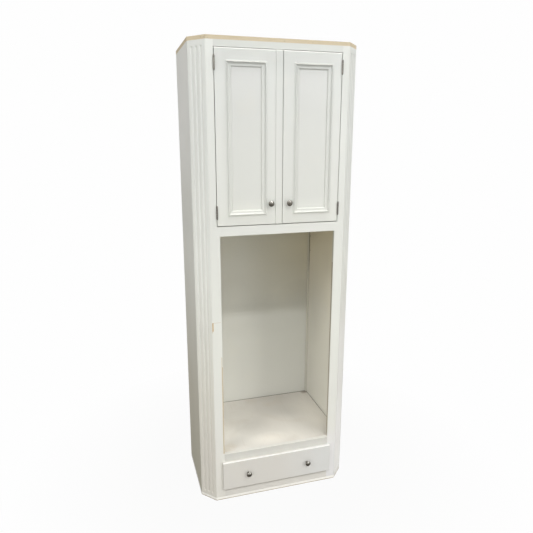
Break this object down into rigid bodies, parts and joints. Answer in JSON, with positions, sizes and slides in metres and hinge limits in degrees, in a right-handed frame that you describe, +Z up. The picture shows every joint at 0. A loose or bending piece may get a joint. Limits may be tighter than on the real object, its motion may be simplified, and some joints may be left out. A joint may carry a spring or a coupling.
{
  "type": "oven cabinet",
  "caption": "Tall white oven cabinet with a two-door cupboard over an open oven bay, a drawer below, and clipped front corners with stopped flutes.",
  "frame": {"origin": "on the floor, in the middle of the carcass footprint: halfway between the face frame and the back panel, halfway between the end panels", "axes": "+Z up, the face frame looks along -Y, +X to the viewer's right when facing the cabinet"},
  "size_m": [0.9144, 0.6559, 2.591],
  "materials": {
    "white_paint": "satin white enamel on wood, lightly worn",
    "inside_paint": "matt off-white enamel on plywood",
    "raw_wood": "bare plywood and softwood",
    "pewter": "antique pewter, satin",
    "zinc_steel": "zinc plated",
    "catch_plastic": "moulded"
  },
  "bodies": {
    "carcass": {"left_end_panel": "white_paint", "right_end_panel": "white_paint", "left_pilaster": "white_paint", "right_pilaster": "white_paint", "left_stile": "white_paint", "right_stile": "white_paint", "top_rail": "white_paint", "middle_rail": "white_paint", "sill_rail": "white_paint", "bottom_rail": "white_paint", "bottom_panel": "inside_paint", "left_side_panel": "inside_paint", "right_side_panel": "inside_paint", "top_panel": "inside_paint", "back_panel": "inside_paint", "oven_deck": "inside_paint", "cupboard_floor": "inside_paint", "rear_nailers": "inside_paint", "corner_cleats": "inside_paint", "lower_shelf": "inside_paint", "upper_shelf": "inside_paint", "base_plate": "raw_wood", "top_plate": "raw_wood", "deck_supports": "raw_wood", "drawer_runner_rails": "raw_wood", "hinge_frame_leaves": "pewter", "hinge_pins": "pewter", "shelf_pins": "zinc_steel", "slide_outers": "zinc_steel", "door_catch": "catch_plastic"},
    "left_door": {"left_door_hinge_stile": "white_paint", "left_door_lock_stile": "white_paint", "left_door_top_rail": "white_paint", "left_door_bottom_rail": "white_paint", "left_door_panel": "white_paint", "left_door_moulding": "white_paint", "left_door_strip": "white_paint", "left_door_knob": "pewter", "left_hinge_door_leaves": "pewter", "left_catch_strike": "zinc_steel"},
    "right_door": {"right_door_hinge_stile": "white_paint", "right_door_lock_stile": "white_paint", "right_door_top_rail": "white_paint", "right_door_bottom_rail": "white_paint", "right_door_panel": "white_paint", "right_door_moulding": "white_paint", "right_door_knob": "pewter", "right_hinge_door_leaves": "pewter", "right_catch_strike": "zinc_steel"},
    "drawer": {"drawer_front": "white_paint", "drawer_box_front": "raw_wood", "drawer_left_side": "raw_wood", "drawer_right_side": "raw_wood", "drawer_back": "raw_wood", "drawer_bottom": "raw_wood", "drawer_knobs": "pewter", "slide_inners": "zinc_steel"},
    "slide_middles": {"slide_middles": "zinc_steel"}
  },
  "joints": [
    {"name": "left_door_hinge", "type": "hinge", "parent": "carcass", "child": "left_door", "pos_m": [-0.34115, -0.3096, 2.0985], "axis": [0, 0, -1], "range_deg": [0, 170]},
    {"name": "right_door_hinge", "type": "hinge", "parent": "carcass", "child": "right_door", "pos_m": [0.34115, -0.3096, 2.0985], "axis": [0, 0, 1], "range_deg": [0, 170]},
    {"name": "drawer_slide", "type": "slide", "parent": "carcass", "child": "drawer", "axis": [0, -1, 0], "range_m": [0, 0.49]},
    {"name": "slide_middles_slide", "type": "slide", "parent": "carcass", "child": "slide_middles", "axis": [0, -1, 0], "range_m": [0, 0.245]}
  ],
  "couplings": [
    {"joint": "slide_middles_slide", "follows": "drawer_slide", "ratio": 0.5}
  ]
}
